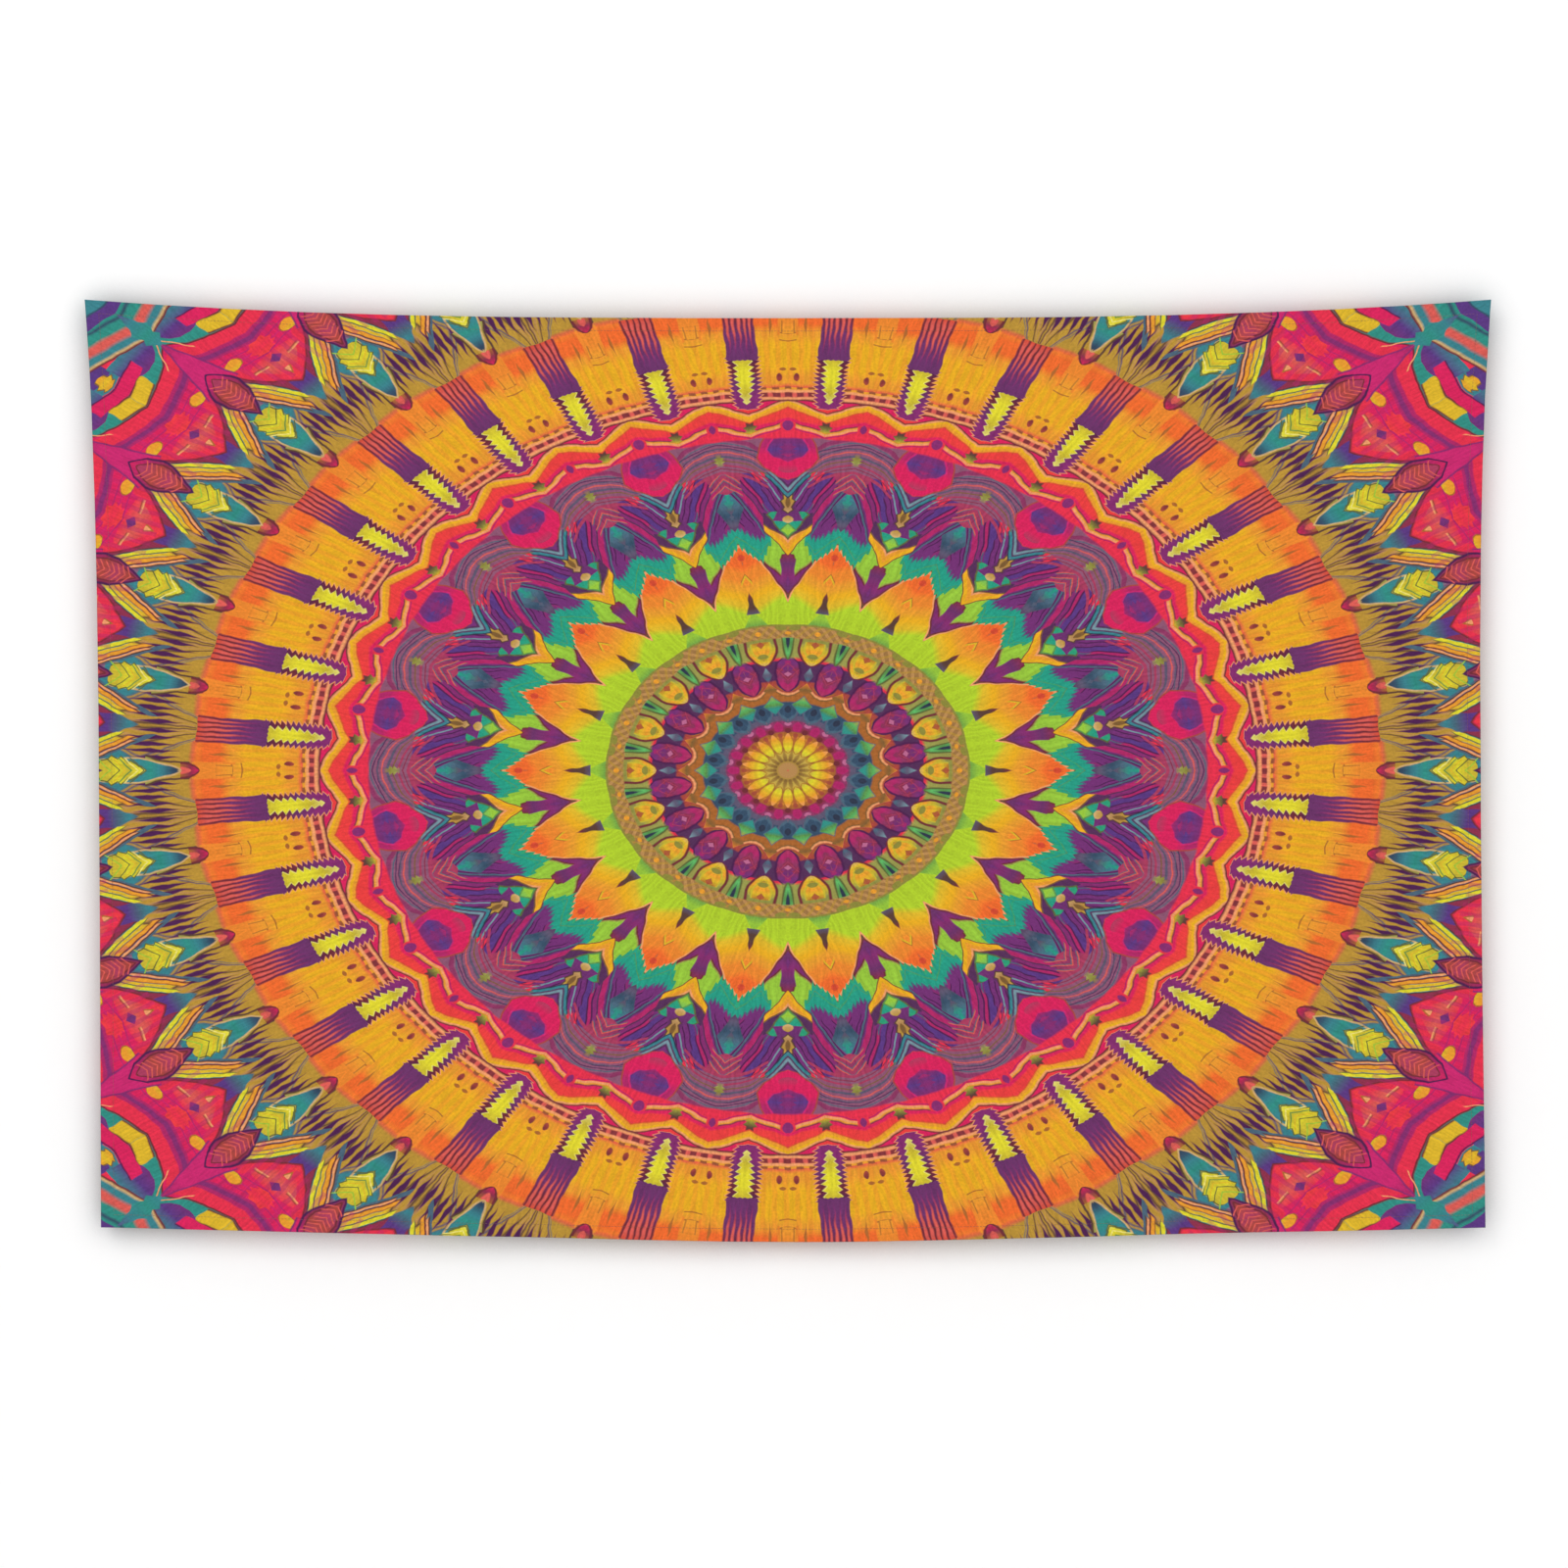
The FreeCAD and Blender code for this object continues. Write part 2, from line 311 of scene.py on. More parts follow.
class Nodes:
    """A shader's node tree and short ways to fill it."""

    def __init__(self, tree):
        self.tree = tree

    def node(self, kind, *values, **settings):
        """A shader node with these settings, its inputs filled in order."""
        node = self.tree.nodes.new(kind)
        for name, value in settings.items():
            setattr(node, name, value)
        for socket, value in zip(node.inputs, values):
            self.fill(socket, value)
        return node

    def fill(self, socket, value):
        """Link a socket to another one, or set its value."""
        if isinstance(value, bpy.types.NodeSocket):
            self.tree.links.new(value, socket)
        elif value is not None:
            socket.default_value = value

    def feed(self, node, values):
        """Fill some inputs of a node by name."""
        for name, value in values.items():
            self.fill(node.inputs[name], value)
        return node

    def math(self, operation, *values):
        return self.node("ShaderNodeMath", *values, operation=operation).outputs[0]


class Print(Nodes):
    """One ring's node group: its colour is built up mark by mark over what is already there."""

    def __init__(self, name):
        super().__init__(bpy.data.node_groups.new(name, "ShaderNodeTree"))

    def take(self, *names):
        """Open the group's inputs: the colour laid so far, or numbers."""
        for name in names:
            kind = "NodeSocketColor" if name == "colour" else "NodeSocketFloat"
            self.tree.interface.new_socket(name, in_out="INPUT", socket_type=kind)
        return self.node("NodeGroupInput").outputs

    def give(self, **values):
        """Close the group with these outputs."""
        for name in values:
            kind = "NodeSocketColor" if name == "colour" else "NodeSocketFloat"
            self.tree.interface.new_socket(name, in_out="OUTPUT", socket_type=kind)
        self.node("NodeGroupOutput", *values.values())

    def share(self, value, low, high):
        """0 at low and 1 at high; what it feeds (a curve, a ramp or a mask) holds it there beyond."""
        step = 1 / (high - low)
        return self.math("MULTIPLY_ADD", value, step, -low * step)

    def curve(self, value, points, smooth=False):
        """A value bent by the line through these points, both ways from 0 to 1."""
        node = self.node("ShaderNodeFloatCurve", 1.0, value)
        line = node.mapping.curves[0]
        while len(line.points) < len(points):
            line.points.new(0.5, 0.5)
        for point, place in zip(line.points, points):
            point.location = place
            point.handle_type = "AUTO_CLAMPED" if smooth else "VECTOR"
        node.mapping.extend = "HORIZONTAL"
        node.mapping.update()
        return node.outputs[0]

    def ramp(self, value, stops):
        """A colour ramp through (place, colour name, opacity)."""
        node = self.node("ShaderNodeValToRGB")
        points = node.color_ramp.elements
        points.remove(points[1])
        for number, (place, name, opacity) in enumerate(stops):
            point = points.new(min(max(place, 0), 1)) if number else points[0]
            point.color = ink(name)[:3] + (opacity,)
        self.fill(node.inputs[0], value)
        return node.outputs

    def beside(self, axis, off=0.0):
        """Distance in mm from an axis, or from the pair of lines this many degrees off it."""
        beside = self.place["from_" + axis]
        if off:
            beside = self.math("ABSOLUTE", self.math("MULTIPLY_ADD", self.place["arc"], -off, beside))
        return beside

    def lay(self, mask, colour):
        """Lay a colour over the print where the mask is 1."""
        mix = self.node("ShaderNodeMix", data_type="RGBA")
        self.fill(mix.inputs[0], mask)
        self.fill(mix.inputs[6], self.colour)
        self.fill(mix.inputs[7], colour)
        self.colour = mix.outputs[2]

    def rings(self, *stack, axis=None, between=None, soft=1.0):
        """Round bands: radii in mm from the inside and the ink between them, by turns."""
        self.wave([(0, 0), (SECTOR, 0)], *stack, axis=axis, between=between, soft=soft)

    def wave(self, line, *stack, axis="arrow", between=None, soft=0.8, smooth=False):
        """Bands along a line round the print.

        line: (degrees from the axis, radius) points; stack: mm outwards from the line and the ink
        between them, by turns, with None for a gap, in 32 stops at most; between: the degrees that
        it is limited to."""
        edges, inks = stack[::2], stack[1::2]
        low = edges[0]
        step = 1 / (edges[-1] - low)
        stops = []
        last = None
        for start, name, end in zip(edges, inks, edges[1:]):
            if name:
                blur = min(soft, 0.4 * (end - start))
                if not last:
                    stops.append(((start - low) * step, name, 0))
                stops.append(((start + blur - low) * step, name, 1))
                stops.append(((end - blur - low) * step, name, 1))
            else:
                stops.append(((start - low) * step, last, 0))
            last = name
        stops.append((1, last, 0))
        radii = [radius for _, radius in line]
        base, rise = min(radii), max(radii) - min(radii)
        place = self.math("MULTIPLY_ADD", self.place["radius"], step, -(base + low) * step)
        if rise:
            first, last = line[0][0], line[-1][0]
            share = self.share(self.place[axis], first, last)
            points = [((at - first) / (last - first), (radius - base) / rise) for at, radius in line]
            height = self.curve(share, points, smooth)
            place = self.math("MULTIPLY_ADD", height, -rise * step, place)
        colour, mask = self.ramp(place, stops)
        if between:
            mask = self.limit(mask, axis, between)
        self.lay(mask, colour)

    def limit(self, mask, axis, between):
        """Keep a mask only between two angles from an axis."""
        first, last = between
        beside = self.place["from_" + axis]
        if last < SECTOR:
            end = self.math("MULTIPLY_ADD", self.place["arc"], last, 0.5)
            mask = self.math("MINIMUM", mask, self.math("SUBTRACT", end, beside))
        if first > 0:
            inside = self.math("MULTIPLY_ADD", self.place["arc"], -first, beside)
            mask = self.math("MINIMUM", mask, self.math("ADD", inside, 0.5))
        return mask

    def mark(self, axis, start, end, width, shape, inks, off=0.0, line=None, line_width=1.6,
             across=False):
        """One shape on every axis of a kind, from one radius to another, this wide each side.

        inks: their names from start to end, or from the axis outwards if across."""
        names = inks.split()
        beside = self.beside(axis, off)
        along = self.share(self.place["radius"], start, end)
        half = self.math("MULTIPLY_ADD", self.curve(along, shape), width + SOFT, -SOFT)
        depth = self.math("SUBTRACT", half, beside)
        edge = 0.5
        if line:
            self.lay(self.math("MULTIPLY_ADD", depth, 1 / SOFT, edge), ink(line))
            edge -= line_width / SOFT
        mask = self.math("MULTIPLY_ADD", depth, 1 / SOFT, edge)
        if len(names) == 1:
            self.lay(mask, ink(names[0]))
            return
        place = self.math("DIVIDE", beside, half) if across else along
        step = 1 / (len(names) - 1)
        stops = [(index * step, name, 1) for index, name in enumerate(names)]
        self.lay(mask, self.ramp(place, stops)[0])

    def strokes(self, inner, outer, count, slant, colour, strength=0.7, share=0.5):
        """Fine strokes all round between two radii; slant turns them across the ring, per mm."""
        lean = self.math("MULTIPLY", self.place["radius"], slant)
        place = self.math("MULTIPLY_ADD", self.place["turn"], count / 360, lean)
        ripple = self.math("PINGPONG", place, 0.5)
        mask = self.share(ripple, share / 2 + STROKE_BLUR, share / 2 - STROKE_BLUR)
        from_inner = self.math("SUBTRACT", self.place["radius"], inner)
        inside = self.math("MINIMUM", from_inner, self.math("SUBTRACT", outer, self.place["radius"]))
        inside = self.math("MINIMUM", inside, strength)
        self.lay(self.math("MINIMUM", mask, inside), ink(colour))


def places_group():
    """Polar places on the design in mm and degrees, with the hand's wobble in them."""
    group = Print("places")
    across, up = group.take("across", "up")[:2]
    squares = [group.math("POWER", value, 2.0) for value in (across, up)]
    radius = group.math("SQRT", group.math("ADD", *squares))
    turn = group.math("MULTIPLY", group.math("ARCTAN2", across, up), 180 / math.pi)
    folded = group.math("PINGPONG", turn, float(SECTOR))
    side = group.math("MULTIPLY", group.math("MULTIPLY", radius, folded), math.pi / 180)
    spot = group.node("ShaderNodeCombineXYZ", radius, side, 0.0).outputs[0]
    noise = group.node("ShaderNodeTexNoise", spot, None, 0.06, 1.0, 0.5, noise_dimensions="2D")
    parts = group.node("ShaderNodeSeparateColor", noise.outputs["Color"]).outputs
    radius = group.math("MULTIPLY_ADD", parts[0], 2 * WOBBLE, group.math("SUBTRACT", radius, WOBBLE))
    arc = group.math("MULTIPLY", radius, math.pi / 180)
    push = group.math("DIVIDE", group.math("MULTIPLY_ADD", parts[1], 2 * WOBBLE, -WOBBLE), arc)
    arrow = group.math("ADD", folded, push)
    block = group.math("PINGPONG", arrow, SECTOR / 2)
    axes = {
        "arrow": arrow,
        "petal": group.math("SUBTRACT", float(SECTOR), arrow),
        "block": block,
        "cone": group.math("SUBTRACT", SECTOR / 2, block),
    }
    beside = {"from_" + axis: group.math("MULTIPLY", angle, arc) for axis, angle in axes.items()}
    group.give(radius=radius, arc=arc, turn=group.math("ADD", turn, push), **axes, **beside)
    return group.tree


def grain_group():
    """Uneven ink: fleck and brush streak, lighter and darker, all over."""
    group = Print("grain")
    colour, radius, side = group.take("colour", "radius", "from_arrow")[:3]
    fleck_spot = group.node("ShaderNodeCombineXYZ", radius, side, 0.0).outputs[0]
    fleck = group.node("ShaderNodeTexNoise", fleck_spot, None, 0.4, 2.0, 0.6, noise_dimensions="2D")
    across = group.math("MULTIPLY", side, 9.0)
    streak_spot = group.node("ShaderNodeCombineXYZ", radius, across, 0.0).outputs[0]
    streak = group.node("ShaderNodeTexNoise", streak_spot, None, 0.04, 2.0, 0.6, noise_dimensions="2D")
    value = group.math("MULTIPLY_ADD", fleck.outputs[0], 0.42, 0.54)
    value = group.math("MULTIPLY_ADD", streak.outputs[0], 0.5, value)
    mix = group.node("ShaderNodeMix", 1.0, data_type="RGBA", blend_type="MULTIPLY")
    group.fill(mix.inputs[6], colour)
    group.fill(mix.inputs[7], value)
    group.give(colour=mix.outputs[2])
    return group.tree


def ring_group(paint):
    """The node group of one part of the design."""
    art = Print(paint.__name__)
    inputs = art.take("colour", *PLACES)
    art.colour = inputs[0]
    art.place = {name: inputs[name] for name in PLACES}
    paint(art)
    art.give(colour=art.colour)
    return art.tree


# ---- the design, ring by ring from the middle --------------------------------------

def jagged(shape, teeth, depth):
    """The same outline with saw teeth along it, each this share deep."""
    shares, widths = zip(*shape)
    points = [(0, 0)]
    for tooth in range(teeth):
        for place, size in ((0.7, 1), (0.95, 1 - depth)):
            share = (tooth + place) / teeth
            points.append((share, float(np.interp(share, shares, widths)) * size))
    return points + [(1, 0)]


def stepped(line, steps, height):
    """The same line round the print, going up and down in small steps."""
    degrees, radii = zip(*line)
    places = np.linspace(degrees[0], degrees[-1], 2 * steps + 1)
    return [(float(at), float(np.interp(at, degrees, radii)) + height * (index % 2))
            for index, at in enumerate(places)]


def paint_heart(art):
    """Daisy, little arches, purple ovals and golden bells."""
    art.rings(0, "tan", 8, "ochre", 13, "brass", 19, "straw", 33, "amber", 37, "rust", 42, "wine", 47,
              "magenta", 54, "dusk", 59, "navy", 74, "rust", 92, "brick", 97, "aubergine", 120)
    art.mark("petal", 9, 41, 1.3, BLOCK, "umber ochre rust brick")
    art.mark("arrow", 18, 41, 5.4, OVAL, "brass yellow gold amber peach", line="rust", line_width=1)
    art.mark("arrow", 40, 46, 3.0, DISC, "maroon")
    art.mark("petal", 42, 53, 4.4, DISC, "rubine")
    art.mark("arrow", 48, 53, 2.6, DISC, "rose")
    art.wave([(0, 72), (4, 62), (10, 58)], -7, "dusk", -4, "slate", -1, "navy", 2, axis="petal")
    art.mark("petal", 59, 83, 9, DIAMOND, "slate teal teal fern green sage sand", line="slate",
             line_width=1)
    art.mark("arrow", 62, 70, 3.4, DISC, "night")
    art.wave([(0, 83), (4, 85), (10, 94)], -4, "umber", -2, "peach", 0.6, "brick", 3)
    art.mark("petal", 82, 96, 6, DIAMOND, "rust umber orange")
    art.mark("petal", 94, 116, 4.2, DIAMOND, "wine slate dusk steel tan")
    art.mark("arrow", 85, 125, 12, OVAL, "cherry rubine magenta wine plum berry", line="grape",
             line_width=2)
    art.mark("arrow", 92, 120, 6, jagged(OVAL, 5, 0.5), "magenta wine plum rubine")
    art.mark("arrow", 101, 108, 3.0, DIAMOND, "rose")
    art.wave([(0, 98), (6, 112)], -1, "cherry", 1, between=(0, 5))
    art.wave([(0, 116), (6, 102)], -1, "cherry", 1, between=(0, 5))
    art.rings(121, "sage", 146, soft=3)
    art.mark("arrow", 119, 146, 6, ARCH, "fern green fern green", line="moss")
    art.mark("arrow", 124, 144, 1.6, ARCH, "night")
    art.mark("petal", 113, 145, 14.5, ARCH, "sand gold amber straw sage olive", line="maroon",
             line_width=2.4)
    art.mark("petal", 119, 141, 9.5, ARCH, "umber gold amber gold rust", line="straw")
    art.mark("petal", 122, 128, 5.5, DISC, "olive")
    art.mark("petal", 133, 143, 4, DIAMOND, "rust brick")
    art.rings(143, "tan", 159, soft=2)
    art.strokes(144, 157, 108, 0.11, "umber", 0.55)
    art.strokes(144, 157, 108, -0.11, "khaki", 0.6, 0.3)
    art.mark("block", 147, 152, 3, DISC, "amber")
    art.mark("arrow", 152, 158, 5, DISC, "olive", off=2.4)
    art.rings(156, "olive", 159)


def paint_sunflower(art):
    """Lime ground, big petals from yellow to red-orange, and purple arrows between them."""
    art.rings(157, "orange", 262)
    art.wave([(0, 190), (10, 170)], -36, "lime", 3, "gold", 13, "marigold", 24, "amber", 34, "orange", 50,
             "flame", 80, soft=4)
    art.mark("petal", 155, 178, 11.5, FUNNEL, "fern leaf leaf")
    art.mark("petal", 172, 200, 5.6, FUNNEL, "dusk bark bark maroon rust")
    art.wave([(0, 215), (1.8, 203)], -2, "gold", 1.5, "rust", 3.4, axis="petal", between=(0, 1.3))
    art.mark("petal", 232, 240, 2.6, DISC, "ember")
    edge = [(0, 187), (2.5, 205), (5, 223), (7.5, 238), (10, 250)]
    art.wave(edge, -4, "peach", -0.6, "bark", 2, "leaf", 50)
    art.mark("arrow", 187, 238, 24, [(0, 0), (0.84, 1), (0.87, 0.26), (0.97, 0.24), (1, 0)],
             "purple purple berry purple wine", line="maroon")
    art.mark("arrow", 196, 216, 2.2, DIAMOND, "plum")
    art.wave([(1.5, 213), (5.6, 229)], -2, "maroon", 0.6, "sage", 2.4, "leaf", 36, between=(1.6, 5.7))
    art.wave(stepped([(3, 257), (5.6, 231), (7.6, 240), (10, 252)], 7, -6), -1.5, "emerald", 3, "jade", 34,
             between=(3.4, 10), soft=0.6)
    art.wave([(3, 257), (5.6, 236), (7.6, 247), (10, 259)], -0.8, "fern", 0.8, between=(4, 10))
    art.wave([(4, 240), (6, 242), (10, 256)], -1, "emerald", 1, between=(5, 10))


def paint_chevrons(art):
    """Orange chevrons, stripes and diamonds down to the ovals."""
    rim = [(0, 276), (4.2, 254), (5.5, 251), (7.3, 256), (10, 267)]
    art.wave(stepped(rim, 11, 5), -1.5, "slate", 2, "plum", 62)
    slope = [(0, 216), (10, 320)]
    for limits, *stripes in (
        ((8.2, 10), -40, "berry", -34, "grape", -31, None, -26, "grape", -23),
        ((6.2, 10), -20, "plum", -14, "grape", -11, None, -7, "grape", -4),
        ((4.2, 10), -4, "slate", 0, "aubergine", 3, None, 5, "rubine", 16, "aubergine", 19, "berry", 26,
         "grape", 29, "rubine", 34, "grape", 37, "violet", 50, "grape", 53, None, 57, "cherry", 62, None,
         66, "wine", 69),
    ):
        art.wave(slope, *stripes, between=limits)
    art.wave(slope, 30, "slate", 33, None, 36, "violet", 46, "grape", 49, None, 56, "grape", 59, None, 64,
             "steel", 68, None, 74, "grape", 78, between=(1, 4.4))
    art.wave([(0, 236), (4.6, 265)], -2, "maroon", 0, "marigold", 6, "amber", 12, "peach", 15, "umber",
             17.5, between=(0, 4.3))
    art.wave([(0, 253), (4.3, 268)], 0, "umber", 1.6, "aubergine", 16, between=(0.8, 4.4))
    art.mark("arrow", 250, 284, 19, CONE, "emerald emerald jade emerald", line="moss")
    art.mark("arrow", 253, 272, 7, DIAMOND, "leaf leaf green", line="fern")
    art.mark("arrow", 272, 310, 14, FUNNEL, "plum aubergine")
    art.mark("arrow", 270, 280, 5, DISC, "sand khaki")
    art.mark("arrow", 279, 308, 8, jagged(OVAL, 3, 0.3), "sand tan khaki sand", line="bark")
    art.mark("arrow", 286, 300, 2.6, DISC, "umber")
    art.wave([(0, 304), (4, 332)], -6, "night", -3.6, "sea", 0.6, "aubergine", 3, "steel", 6.6, "aubergine",
             10, between=(0, 3.6))
    art.mark("petal", 262, 312, 12, WEDGE, "aubergine dusk navy slate sea slate")
    art.mark("petal", 276, 308, 4.4, jagged(OVAL, 4, 0.5), "slate dusk teal jade")
    art.mark("petal", 306, 338, 16, ARCH, "cherry cherry magenta cherry magenta mauve")
    for radius in (314, 321, 328):
        art.wave([(0, radius + 3), (3, radius - 12)], -2.2, "slate", -1, "coral", 1, axis="petal",
                 between=(0, 2.6))


def paint_ovals(art):
    """Magenta ovals in a ring of curved mauve strokes."""
    art.rings(328, "mauve", 368)
    bow = [(0, 343), (3, 338), (7, 322)]
    art.wave(bow, -14, "cherry", -10, None, -8, "wine", -6, None, -4, "cherry", -1, None, 2, "umber", 4,
             None, 6, "dusk", 9, axis="petal", between=(0, 6.8), smooth=True)
    art.wave(bow, 11, "coral", 13, None, 15, "aubergine", 17, None, 18, "mauve", 20, None, 21, "slate", 23,
             None, 24, "magenta", 30, axis="petal", between=(0, 6.8), smooth=True)
    art.mark("petal", 337, 353, 6, jagged(OVAL, 4, 0.5), "mauve sage olive mauve")
    art.wave([(0, 358), (6, 346)], 0, "dusk", 2, None, 4, "aubergine", 6, axis="petal", smooth=True)
    egg = [(0, 0), (0.1, 0.36), (0.3, 0.72), (0.52, 1), (0.75, 0.92), (0.98, 0.8), (1, 0)]
    art.mark("arrow", 318, 368, 28, egg, "crimson crimson crimson crimson rubine rubine", line="brick")
    art.mark("arrow", 338, 368, 19, [(0, 0), (0.2, 0.7), (0.5, 1), (0.98, 0.75), (1, 0)],
             "rubine plum violet plum berry", line="fuchsia")
    art.mark("arrow", 344, 362, 9, jagged(OVAL, 4, 0.4), "rubine plum berry plum")
    art.mark("arrow", 327, 336, 9, DISC, "cherry crimson")


def paint_zigzags(art):
    """Red field with a broken zigzag, an amber wave and dotted rows."""
    art.rings(365, "red", 382, "scarlet", 400, "crimson", 409, "brick", 424, soft=2)
    art.wave([(0, 384), (5, 372)], 0, "crimson", 6, axis="block", soft=3)
    art.wave([(0, 382), (5, 370)], -4.5, "rubine", -2.6, None, -2.4, "peach", 0.6, "amber", 1.8, "wine", 4,
             axis="block", between=(0.9, 5))
    art.mark("cone", 371, 386, 7, jagged(OVAL, 3, 0.4), "gold olive bark maroon")
    art.mark("block", 374, 386, 4, DISC, "berry")
    art.wave([(0, 405), (5, 388)], -5.4, "ember", -3.4, "amber", 0, "marigold", 3, "peach", 5, "maroon", 7,
             axis="block")
    art.rings(407, "maroon", 409.5, "peach", 412.5, "coral", 417.5, "peach", 420.5, "amber", 424)
    art.strokes(412.5, 418, 252, 0.0, "maroon", 0.9, 0.6)
    art.strokes(421, 425, 252, 0.0, "maroon", 0.8, 0.5)


def paint_columns(art):
    """Orange blocks with yellow cones and purple columns between them."""
    art.rings(423, "amber", 440, "marigold", 478, "amber", 496, "orange", 520, soft=5)
    art.strokes(424, 518, 288, 0.004, "orange", 0.35, 0.35)
    art.mark("block", 430, 440, 2.8, DISC, "brick maroon", off=0.95)
    art.mark("block", 442, 446, 3.0, DISC, "rust", off=0.6)
    art.wave([(0, 478), (1.4, 480)], -2.6, "rust", -0.6, None, 2, "amber", 4, None, 5, "rust", 7,
             axis="block", between=(0, 0.9))
    art.mark("block", 484, 499, 6, BLOCK, "amber orange", line="rust", line_width=1)
    art.rings(486, "flame", 520, axis="cone", between=(0, 4), soft=10)
    art.mark("block", 482, 520, 1.3, BLOCK, "orange", off=0.9)
    art.mark("block", 474, 514, 1.6, DIAMOND, "rust", off=1.9)
    art.mark("cone", 398, 460, 16.5, jagged([(0, 0.4), (0.1, 0.85), (0.3, 0.95), (1, 1)], 13, 0.26),
             "berry berry purple maroon grape", line="peach", line_width=1.3)
    art.mark("cone", 404, 456, 10,
             jagged([(0, 0.3), (0.15, 0.5), (0.4, 0.88), (0.7, 1), (1, 0.9)], 8, 0.42),
             "cream straw yellow yellow straw", line="cream", line_width=1)
    art.mark("cone", 456, 519, 14.5, BLOCK, "purple berry cherry coral coral coral ember", line="brick")
    for off in (0.28, 0.85, 1.42):
        art.mark("cone", 454, 519, 2.5, [(0, 0), (0.02, 1), (0.3, 0.8), (0.98, 0.5), (1, 0)],
                 "purple purple purple maroon maroon", off=off)


def paint_fans(art):
    """Khaki band with fanned strokes, teal arrowheads and spiky yellow flowers."""
    art.rings(517, "khaki", 566, "slate", 640, soft=6)
    art.wave([(0, 600), (5, 566)], -8, "slate", 0, "sea", 30, axis="cone", soft=3)
    art.mark("cone", 517, 598, 40, [(0, 0), (0.01, 0.32), (0.6, 1), (0.85, 0.7), (1, 0.1)],
             "khaki bark tan khaki khaki tan khaki bark khaki khaki khaki khaki khaki dusk khaki slate",
             across=True)
    for off, end in ((0.5, 580), (1.25, 592), (2.0, 598), (2.75, 592), (3.5, 580)):
        art.mark("cone", 522, end, 2.7, DIAMOND, "maroon grape grape plum", off=off)
    art.mark("cone", 566, 606, 13, [(0, 0), (0.5, 0.75), (0.8, 1), (1, 1)], "dusk sea slate violet violet")
    art.mark("block", 515, 562, 17, [(0, 0), (0.15, 0.6), (0.5, 0.6), (0.98, 1), (1, 0)],
             "khaki khaki sage", line="bark", line_width=2.2)
    art.mark("block", 513, 530, 9, ARCH, "crimson wine rust", line="maroon", line_width=2.4)
    art.mark("block", 520, 530, 3.2, ARCH, "coral")
    art.mark("block", 527, 566, 13.5, [(0, 0), (0.3, 0.5), (0.7, 0.85), (1, 1)], "night navy sea teal sea",
             line="sand")
    slant = [(0.8, 588), (4.4, 650)]
    art.wave(slant, -40, "slate", -30, None, -1.5, "bark", 1, "wine", 20, axis="cone", between=(1, 4.4))
    for limits, *stripes in (
        ((1.7, 4.2), -36, "bark", -33, "peach", -29),
        ((1.3, 4.2), -29, "maroon", -26, "amber", -20, "rust", -18),
        ((1.5, 4.2), -18, "gold", -11),
        ((0.9, 4.2), -11, "moss", -9, "yellow", -2),
    ):
        art.wave(slant, *stripes, axis="cone", between=limits)
    art.mark("block", 558, 602, 17.5,
             jagged([(0, 0.1), (0.3, 0.55), (0.5, 0.9), (0.8, 1), (1, 0.6)], 5, 0.2),
             "cream yellow straw yellow straw straw", line="moss")
    for start, name in ((562, "moss"), (567, "cream"), (572, "fern"), (577, "gold"), (583, "moss"),
                        (591, "leaf")):
        art.wave([(0, start), (1.8, start + 16)], -1.1, name, 1.1, axis="block", between=(0, 1.3))


def paint_leaves(art):
    """Red field with long leaves, arches and a purple ring."""
    art.wave([(0, 598), (2, 615), (4.4, 652), (5, 656)], -1.5, "maroon", 1.5, "red", 18, "crimson", 70,
             axis="cone", soft=1.4)
    art.mark("cone", 600, 640, 26, CONE, "scarlet red coral red")
    art.mark("cone", 607, 619, 4.4, CONE, "peach", line="rust")
    art.wave([(0, 627), (4, 634)], -1, "peach", 1, "brick", 3, axis="cone", between=(1, 2.4))
    art.mark("cone", 626, 638, 6.5, DIAMOND, "plum")
    art.strokes(606, 700, 360, 0.012, "rubine", 0.4, 0.35)
    art.wave([(0, 640), (3.6, 648)], -1, "rubine", 1, None, 6, "fuchsia", 8, None, 12, "rubine", 14,
             axis="cone", smooth=True)
    art.mark("cone", 640, 660, 16, jagged(OVAL, 4, 0.3), "scarlet red scarlet")
    art.mark("block", 646, 658, 11, DISC, "gold amber amber", off=2, line="rust")
    art.wave([(0, 682), (1.6, 672), (5, 661)], -4, "rubine", -1, "berry", 4, "rubine", 8, "red", 24,
             "crimson", 30, axis="block", smooth=True)
    art.wave([(0, 712), (2, 694), (5, 682)], -1, "maroon", 1.5, "teal", 20, "grape", 22, "crimson", 36,
             "sea", 46, axis="block", smooth=True)
    art.wave([(2, 695), (5, 683)], 0, "maroon", 2, "gold", 17, "maroon", 19.5, axis="block", between=(3, 5),
             smooth=True)
    art.mark("block", 704, 736, 24, ARCH, "plum violet sea", off=2.2)
    art.wave([(2, 711), (5, 702)], 0, "crimson", 14, "grape", 16, axis="block", between=(2.4, 5),
             smooth=True)
    art.mark("cone", 719, 736, 11, jagged(OVAL, 3, 0.3), "amber gold amber", line="umber")
    art.mark("block", 640, 724, 20, FUNNEL, "crimson fuchsia fuchsia fuchsia rubine cherry", line="berry")
    art.wave([(0, 722), (1.6, 690)], -2, "peach", 1, axis="block", between=(0.1, 1.5))
    art.mark("block", 596, 666, 17.5, LEAF, "wine magenta wine rubine crimson", line="grape",
             line_width=2.4)
    art.mark("block", 602, 658, 13, LEAF, "wine brick cherry brick cherry cherry", line="maroon")
    for start in range(610, 648, 5):
        art.wave([(0, start), (1, start + 7)], -1.1, "coral", 1.1, axis="block", between=(0, 0.85))


